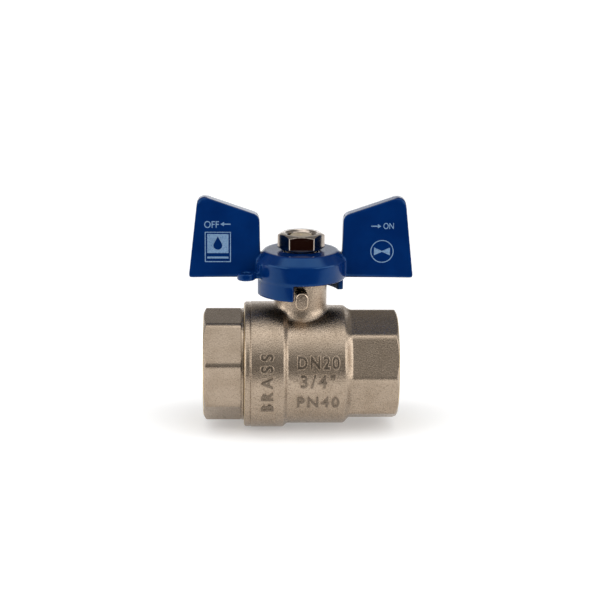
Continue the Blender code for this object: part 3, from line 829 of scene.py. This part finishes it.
def handle():
    """The die-cast handle: cap with two stop skirts, two wings and an eyelet, in one rounded skin."""
    inner = CAP_R - CAP_WALL
    made = turned("handle", [
        (handle_low.z, inner), (handle_low.z, CAP_R - LEDGE), (CAP_RIM + 0.2 * MM, CAP_R - LEDGE),
        (CAP_RIM + 0.3 * MM, CAP_R), (CAP_EDGE, CAP_R), (CAP_TOP, CAP_TOP_R),
        (CAP_TOP, 2.5 * MM), (PLATE_BOTTOM, 2.5 * MM), (PLATE_BOTTOM, inner - PLATE_FILLET),
        (PLATE_BOTTOM - PLATE_FILLET, inner)], turns=192, loop=True)
    lug = math.degrees(math.asin((LUG_WIDTH / 2 + GAP) / inner))
    notches = [arc_block(name, middle - lug, middle + 90 + lug, handle_low.z - MM, CAP_RIM)
               for name, middle in (("notch_front", 270), ("notch_back", 90))]
    hole = slab("stem_hole", box_outline(*STEM_HOLE), PLATE_BOTTOM - MM, CAP_TOP + MM, along="Z")
    combine(made, "DIFFERENCE", *notches, hole)
    combine(made, "UNION", wing("wing_left", -1), wing("wing_right", 1), *eyelet())
    cast = made.modifiers.new("cast", "REMESH")
    cast.mode = "VOXEL"
    cast.voxel_size = 0.23 * MM
    paint = made.modifiers.new("paint", "SMOOTH")
    paint.factor = 0.6
    paint.iterations = 7
    settle(made)
    made.data.shade_smooth()
    made.data.materials.clear()
    made.data.materials.append(ENAMEL)
    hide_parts("handle")
    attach(made, "stem_and_handle")


# ---------------------------------------------------------------- nuts, stem and what seals it

def hexagon_piece(name, low, high, flats, bore, chamfer, look, first_corner=0.0):
    """A chamfered hexagon with a fine thread in its bore. bore is the radius of the thread's crest."""
    turns = 192
    turn = angles(turns)
    across = polygon_radius(turn, 6, flats / 2, first_corner)
    corner = flats / math.sqrt(3)
    slope = 1.9
    ends = np.linspace(low, low + 2 * chamfer, 12), np.linspace(high - 2 * chamfer, high, 12)
    rows = []
    for z in np.concatenate(ends):
        cone = corner - slope * chamfer + min(z - low, high - z) * slope
        radius = smooth_min(smooth_min(across, corner - 0.12 * MM, 0.06 * MM), cone, 0.07 * MM)
        rows.append(ring_row(z, radius, turns, "Z"))
    rows.append(ring_row(high, bore + 0.75 * MM, turns, "Z"))
    rows.append(ring_row(high - 0.45 * MM, bore + NUT_THREAD_DEPTH, turns, "Z"))
    for z in np.arange(high - 0.55 * MM, low + 0.4 * MM, -NUT_ROW):
        rows.append(ring_row(z, bore + NUT_THREAD_DEPTH * (1 - helix(z, turn, M8_PITCH)), turns, "Z"))
    rows.append(ring_row(low, bore + 0.4 * MM, turns, "Z"))
    return skin(name, rows, look, loop=True)


def handle_nut():
    made = hexagon_piece("handle_nut", nut_low.z, nut_high.z, NUT_FLATS, NUT_BORE, NUT_CHAMFER, BRIGHT)
    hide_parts("handle_nut")
    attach(made, "stem_and_handle")


def gland_nut():
    """The nut that presses on the packing: a hexagon on a threaded tube."""
    made = hexagon_piece("gland_nut", GLAND_SHOULDER, gland_high.z, GLAND_FLATS, GLAND_BORE, GLAND_CHAMFER,
                         TURNED_BRASS, math.radians(30))
    turns = 96
    turn = angles(turns)
    bore, outside = GLAND_TUBE
    top = GLAND_SHOULDER + 0.3 * MM
    rows = [ring_row(gland_low.z, outside, turns, "Z")]
    for z in np.arange(gland_low.z + 0.1 * MM, GLAND_SHOULDER + 0.15 * MM, FINE_ROW):
        rows.append(ring_row(z, GLAND_THREAD_ROOT + FINE_THREAD_DEPTH * helix(z, turn, MM), turns, "Z"))
    rows += [ring_row(top, outside, turns, "Z"), ring_row(top, bore, turns, "Z"),
             ring_row(gland_low.z, bore, turns, "Z")]
    combine(made, "UNION", skin("gland_thread", rows, TURNED_BRASS, loop=True))
    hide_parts("gland_nut")
    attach(made, "valve_body")


def stem():
    """The stem, from the tongue in the ball's slot to the M8 stud for the handle nut."""
    turns = 128
    turn = angles(turns)
    cosine, sine = np.maximum(abs(np.cos(turn)), 1e-6), np.maximum(abs(np.sin(turn)), 1e-6)
    tongue = np.minimum(TONGUE_HALF[0] / cosine, TONGUE_HALF[1] / sine)
    flats = FLATS_HALF / sine
    soft = 0.05 * MM
    low, high = stem_low.z, stem_high.z
    collar_low, collar_high = STEM_COLLAR
    profile = [
        (low, smooth_min(tongue, 3.6 * MM, soft)),
        (TONGUE_CHAMFER_TOP, smooth_min(tongue, 4.2 * MM, soft)),
        (collar_low, smooth_min(tongue, 4.2 * MM, soft)),
        (collar_low, STEM_COLLAR_R - 0.3 * MM), (collar_low + 0.25 * MM, STEM_COLLAR_R),
        (collar_high - 0.25 * MM, STEM_COLLAR_R), (collar_high, STEM_COLLAR_R - 0.25 * MM),
        (collar_high, STEM_R)]
    for bottom in GROOVES:
        top = bottom + GROOVE_WIDTH
        profile += [(bottom, STEM_R), (bottom, GROOVE_R), (top, GROOVE_R), (top, STEM_R)]
    profile += [(FLATS_BOTTOM - 0.05 * MM, STEM_R)]
    profile += [(z, smooth_min(flats, STEM_R, soft)) for z in (FLATS_BOTTOM, FLATS_TOP)]
    for z in np.arange(FLATS_TOP, high - 0.55 * MM, FINE_ROW):
        ridges = STUD_ROOT + FINE_THREAD_DEPTH * helix(z, turn, M8_PITCH)
        profile.append((z, smooth_min(ridges, flats + 0.5 * MM, soft)))
    centre_mark = [(high, 0.55 * MM), (high - 0.35 * MM, 0.2 * MM)]
    profile += [(high - 0.45 * MM, STUD_ROOT), (high, 3.0 * MM), *centre_mark]
    made = turned("stem", profile, TURNED_BRASS, turns=turns)
    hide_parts("stem")
    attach(made, "stem_and_handle")


def ball():
    """The ball, bored along the pipe, with lapped rims and the stem's slot across its top."""
    face = math.acos(BALL_BORE / BALL_R)
    profile = [(BALL_R * math.sin(a), BALL_R * math.cos(a)) for a in np.linspace(-face, face, 72)[1:-1]]
    reach, rim = profile[-1]
    lip, end = (reach + BALL_LAP * 0.7, rim - BALL_LAP * 0.45), reach + BALL_LAP * 0.5
    profile += [lip, (end, BALL_BORE), (-end, BALL_BORE), (-lip[0], lip[1])]
    made = turned("ball", profile, CHROME, axis="X", turns=144, loop=True)
    outside = 15 * MM
    outline = [(-SLOT_HALF, SLOT_FLOOR), (SLOT_HALF, SLOT_FLOOR), (SLOT_HALF, outside), (-SLOT_HALF, outside)]
    combine(made, "DIFFERENCE", slab("stem_slot", outline, -outside, outside))
    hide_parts("ball")
    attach(made, "ball")


def seat(name, side):
    """A PTFE ring with a lapped zone that fits the ball."""
    low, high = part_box(name)
    far = max(abs(low.x), abs(high.x))
    near = min(abs(low.x), abs(high.x))
    sphere = BALL_R + GAP
    inner, outer = math.asin(PASSAGE_R / sphere), math.acos(near / sphere)
    zone = [(sphere * math.cos(a), sphere * math.sin(a)) for a in np.linspace(inner, outer, 12)]
    bevel = 0.2 * MM
    lip = high.y - bevel
    profile = [(far, PASSAGE_R), *zone, (near, lip), (near + bevel, high.y),
               (far - bevel, high.y), (far, lip)]
    made = turned(name, [(side * along, radius) for along, radius in profile], PTFE, "X", 160, loop=True)
    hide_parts(name)
    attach(made, "valve_body")


def flat_ring(name, inner, axis="Z", turns=128):
    """A flat PTFE ring with small bevels, filling its own box."""
    low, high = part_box(name)
    near, far, outer = (low.x, high.x, high.y) if axis == "X" else (low.z, high.z, high.y)
    bevel = 0.1 * MM
    profile = [(near, inner + bevel), (near, outer - bevel), (near + bevel, outer), (far - bevel, outer),
               (far, outer - bevel), (far, inner + bevel), (far - bevel, inner), (near + bevel, inner)]
    made = turned(name, profile, PTFE, axis, turns, loop=True)
    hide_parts(name)
    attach(made, "valve_body")


def o_ring(name):
    """A rubber ring with a fine moulding line, in its groove."""
    low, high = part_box(name)
    inner, outer = GROOVE_R + GAP, high.y
    middle, half_wide, half_high = (inner + outer) / 2, (outer - inner) / 2, (high.z - low.z) / 2
    centre = (low.z + high.z) / 2
    profile = []
    for a in np.linspace(0, 2 * math.pi, 24, endpoint=False):
        line = 0.02 * MM if abs(math.sin(a)) < 0.05 else 0
        profile.append((centre + half_high * math.sin(a), middle + (half_wide - line) * math.cos(a)))
    made = turned(name, profile, NITRILE, turns=96, loop=True, sharp=60)
    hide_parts(name)
    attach(made, "stem_and_handle")


# ---------------------------------------------------------------- raised marks and prints

def lettering(name, words, height, thick, look, rounding=0.0, spacing=1.0, bold=0.0, narrow=1.0):
    """Letters as a solid centred on the origin, reading along +X, from z = 0 to thick."""
    curve = bpy.data.curves.new(name, "FONT")
    curve.body = words
    curve.align_x = "CENTER"
    curve.size = height / CAPITALS
    curve.space_character = spacing
    curve.extrude = thick / 2 - rounding
    curve.bevel_depth = rounding
    curve.bevel_resolution = 1
    curve.offset = bold
    made = bpy.data.objects.new(name, curve)
    bpy.context.scene.collection.objects.link(made)
    bpy.context.view_layer.update()
    mesh = bpy.data.meshes.new_from_object(made.evaluated_get(bpy.context.evaluated_depsgraph_get()))
    bpy.data.objects.remove(made)
    mesh.transform(Matrix.Diagonal((narrow, 1, 1, 1)) @ Matrix.Translation((0, -height / 2, thick / 2)))
    solid = bpy.data.objects.new(name, mesh)
    bpy.context.scene.collection.objects.link(solid)
    mesh.materials.clear()
    mesh.materials.append(look)
    return solid


def raised(name, words, height, middle_x, elevation, radius, upright=False, spacing=1.0, narrow=1.0):
    """Raised lettering on the front of a cylinder about the pipe axis: a soft plinth round each
    letter, and the letter itself on it."""
    # The letter tier's darker nickel is painted shade for the dark reflection on the flat letter tops.
    tiers = (("plinth", 0.16 * MM, 0.25 * MM, 0.15 * MM, NICKEL),
             ("letter", 0.36 * MM, 0.03 * MM, 0.10 * MM, SHADED_MARK_NICKEL))
    for tier, proud, bold, slope, look in tiers:
        made = lettering(f"{name}_{tier}", words, height, proud + MARK_ROOT, look, slope, spacing, bold,
                         narrow)
        wrap(made, middle_x, elevation, radius, upright)
        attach(made, "valve_body")


def wrap(made, middle_x, elevation, radius, upright):
    """Bends flat letters round the pipe axis, in narrow strips. Upright letters read up the ring."""
    bm = bmesh.new()
    bm.from_mesh(made.data)
    bmesh.ops.remove_doubles(bm, verts=bm.verts, dist=0.002 * MM)
    across = 0 if upright else 1
    normal = (1, 0, 0) if upright else (0, 1, 0)
    reach = max(abs(vert.co[across]) for vert in bm.verts)
    strip = 0.6 * MM
    for at in np.arange(-reach + strip / 2, reach, strip):
        bmesh.ops.bisect_plane(bm, geom=[*bm.verts, *bm.edges, *bm.faces], dist=1e-7,
                               plane_co=Vector(normal) * at, plane_no=normal)
    for vert in bm.verts:
        u, v, w = vert.co
        along, about = (-v, u) if upright else (u, v)
        angle = elevation + about / radius
        out = radius - MARK_ROOT + w
        vert.co = (middle_x + along, -out * math.cos(angle), out * math.sin(angle))
    bm.to_mesh(made.data)
    bm.free()
    made.data.shade_smooth()
    made.data.set_sharp_from_angle(angle=math.radians(50))


def printed(name, made, x, z, flip=False):
    """Puts flat work that was drawn round the origin on a wing's front face."""
    if flip:
        made.data.transform(Matrix.Rotation(math.pi, 4, "Z"))
    turn = Matrix.Rotation(math.pi / 2, 4, "X")
    made.data.transform(Matrix.Translation((x, -WING_HALF - INK_ROOM, z)) @ turn)
    made.name = name
    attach(made, "stem_and_handle")


def flat(name, outline, hole=None):
    """A thin print of an outline in millimetres, with another one left out of it."""
    made = slab(name, from_mm(outline), 0, INK_THICK, INK, along="Z")
    if hole:
        combine(made, "DIFFERENCE", slab(f"{name}_hole", from_mm(hole), -MM, MM, along="Z"))
    return made


def arrow(name, x, z, flip):
    outline = [(-1.4, -0.17), (0.5, -0.17), (0.5, -0.62), (1.5, 0), (0.5, 0.62), (0.5, 0.17), (-1.4, 0.17)]
    printed(name, flat(name, outline), x, z, flip)


def printed_word(name, words, height, narrow, x, z):
    made = lettering(name, words, height, INK_THICK, INK, bold=0.02 * MM, narrow=narrow)
    printed(name, made, x, z)


def prints():
    """Closed and open marks: words and arrows, a drop in a panel, and the sign for a valve."""
    printed_word("print_off", "OFF", 1.98 * MM, 0.88, -25.75 * MM, 42.2 * MM)
    arrow("print_arrow_off", -21.7 * MM, 42.3 * MM, True)
    line = flat("frame_line", box_outline(3.75, 4.45), box_outline(3.48, 4.18))
    printed("print_frame", line, LEFT_X, 35.6 * MM)
    bulb = np.linspace(math.radians(25), math.radians(-205), 40)
    drop = [(0, 2.1)] + [(1.25 * math.cos(a), -0.55 + 1.25 * math.sin(a)) for a in bulb]
    printed("print_panel", flat("panel", box_outline(3.05, 2.8), drop), LEFT_X, 36.6 * MM)
    printed("print_bars", flat("print_bars", box_outline(3.05, 0.28)), LEFT_X, 32.5 * MM)
    arrow("print_arrow_on", 21.4 * MM, 41.8 * MM, False)
    printed_word("print_on", "ON", 1.75 * MM, 0.80, 25.05 * MM, 41.9 * MM)
    printed("print_ring", flat("ring_line", circle(3.35), circle(3.08)), RIGHT_X, SIGN_Z)
    bow_tie = [(-2.3, -1.15), (0, -0.12), (2.3, -1.15), (2.3, 1.15), (0, 0.12), (-2.3, 1.15)]
    printed("print_valve_sign", flat("print_valve_sign", bow_tie), RIGHT_X, SIGN_Z)


# ---------------------------------------------------------------- studio

def paper():
    """White paper that glows, less so right under the valve, so that a soft shadow shows."""
    f = finish("white_paper")
    x, y = f.parts(f.where())[:2]
    away = (x ** 2 * 0.35 + y ** 2) ** 0.5
    glow = f.mix((0.27, 0.27, 0.27), (0.62, 0.62, 0.62), away.step(0.010, 0.055))
    glow = f.mix(glow, (0.40, 0.40, 0.40), ((y ** 2) ** 0.5).step(0.05, 0.12))
    glow = f.mix(glow, (0.72, 0.72, 0.72), away.step(0.3, 0.9))
    fibre = f.noise(2 * MM, 2.0)
    return f.surface(
        Base_Color=f.mix((0.82, 0.82, 0.82), (0.78, 0.78, 0.78), fibre),
        Roughness=0.9,
        Specular_IOR_Level=0.1,
        Emission_Color=glow,
        Emission_Strength=1.0)


def dark_reflection_sheet():
    """A dull dark sheet in front of the valve, seen only where polished faces mirror it: a painted dark
    reflection.
    """
    f = finish("dark_reflection_sheet")
    reflection_mottle = f.noise(0.05, 3.0)
    return f.surface(
        Base_Color=f.mix((0.026, 0.008, 0.006), (0.018, 0.006, 0.004), reflection_mottle),
        Roughness=0.9,
        Specular_IOR_Level=0.0)


def tent(ground):
    """A plain white wall all round, which closes the view and throws no light on the valve."""
    look = finish("white_tent").surface(
        Base_Color=(0.8, 0.8, 0.8, 1.0),
        Roughness=0.9,
        Emission_Color=(1.0, 1.0, 1.0, 1.0),
        Emission_Strength=1.0)
    made = skin("tent", [ring_row(height, 2.8, 96, "Z") for height in (ground - 0.01, 2.4)], look)
    made.visible_diffuse = made.visible_glossy = made.visible_shadow = False


def softbox(name, azimuth, elevation, distance, wide, tall, radiance):
    """An area light that faces the valve. Azimuth 0 is in front and 90 on the right."""
    light = bpy.data.lights.new(name, "AREA")
    light.shape = "RECTANGLE"
    light.size, light.size_y = wide, tall
    light.energy = 4 * wide * tall * radiance
    made = bpy.data.objects.new(name, light)
    bpy.context.scene.collection.objects.link(made)
    a, e = math.radians(azimuth), math.radians(elevation)
    out = Vector((math.sin(a) * math.cos(e), -math.cos(a) * math.cos(e), math.sin(e)))
    made.location = out * distance
    made.rotation_euler = out.to_track_quat("Z", "Y").to_euler()


def card(name, centre, half_x, half_y, look):
    """A flat sheet of the stage."""
    bm = bmesh.new()
    bm.faces.new([bm.verts.new((u, v, 0)) for u, v in box_outline(half_x, half_y)])
    made = place(name, bm, look)
    made.data.transform(Matrix.Translation(centre))
    return made


def studio():
    """Paper floor, white wall, softboxes and a little light from everywhere."""
    ground = cad_box[0][2] - 0.02 * MM
    card("paper_floor", (0, 0, ground), 3.0, 3.0, paper())
    # A dark sheet seen only in reflections: a painted dark reflection that casts no shadow.
    dark_reflection_card = card("dark_reflection_card", (0, -1.64, ground + 0.3 * MM), 3.0, 1.5, dark_reflection_sheet())
    dark_reflection_card.visible_camera = dark_reflection_card.visible_diffuse = dark_reflection_card.visible_shadow = False
    tent(ground)
    softbox("overhead_front", 0, 66, 1.2, 2.6, 1.1, 0.71)
    softbox("overhead_core", 0, 77, 1.15, 1.8, 0.3, 0.8)
    softbox("left_side", -64, 14, 1.3, 1.4, 1.1, 1.7)
    softbox("right_side", 64, 14, 1.3, 1.4, 1.1, 1.7)
    softbox("horizon", 180, 7.6, 2.9, 5.0, 0.50, 1.0)
    softbox("backdrop", 180, 19.6, 2.9, 5.0, 0.70, 0.26)
    world = bpy.data.worlds.new("studio_air")
    bpy.context.scene.world = world
    w = Finish(world)
    air = w.node("ShaderNodeBackground", None, {"Color": (1, 1, 1, 1), "Strength": 0.31})
    w.node("ShaderNodeOutputWorld", None, {"Surface": air.outputs[0]})


def camera():
    lens = bpy.data.cameras.new("camera")
    lens.sensor_width = 36
    lens.lens = 105.8
    lens.clip_start = 0.01
    made = bpy.data.objects.new("camera", lens)
    bpy.context.scene.collection.objects.link(made)
    eye, aim = Vector((-16.7, -496, 149.1)) * MM, Vector((-0.15, 0, 19.3)) * MM
    made.location = eye
    roll = Matrix.Rotation(math.radians(0.55), 4, "Z")
    made.rotation_euler = ((aim - eye).to_track_quat("-Z", "Y").to_matrix().to_4x4() @ roll).to_euler()
    bpy.context.scene.camera = made
    bpy.context.scene.view_settings.view_transform = "Standard"


valve_body()
end_connector()
handle()
handle_nut()
gland_nut()
stem()
ball()
seat("seat_inlet", -1)
seat("seat_outlet", 1)
flat_ring("body_seal_ring", NOSE_TIP_R, "X", 160)
for ring in ("thrust_washer", "packing_ring_lower", "packing_ring_upper"):
    flat_ring(ring, STEM_R + GAP)
o_ring("stem_o_ring_lower")
o_ring("stem_o_ring_upper")
raised("mark_size", "DN20", 3.6 * MM, 4.7 * MM, math.radians(17.5), BARREL_R, spacing=1.28, narrow=0.80)
raised("mark_inch", '3/4"', 3.6 * MM, 4.6 * MM, math.radians(-0.6), BARREL_R, spacing=1.3, narrow=0.96)
raised("mark_rating", "PN40", 3.6 * MM, 4.7 * MM, math.radians(-22.5), BARREL_R, spacing=1.28, narrow=0.88)
raised("mark_metal", "BRASS", 3.3 * MM, -9.9 * MM, math.radians(-3), RING_R,
       upright=True, spacing=1.6, narrow=0.97)
prints()
studio()
camera()
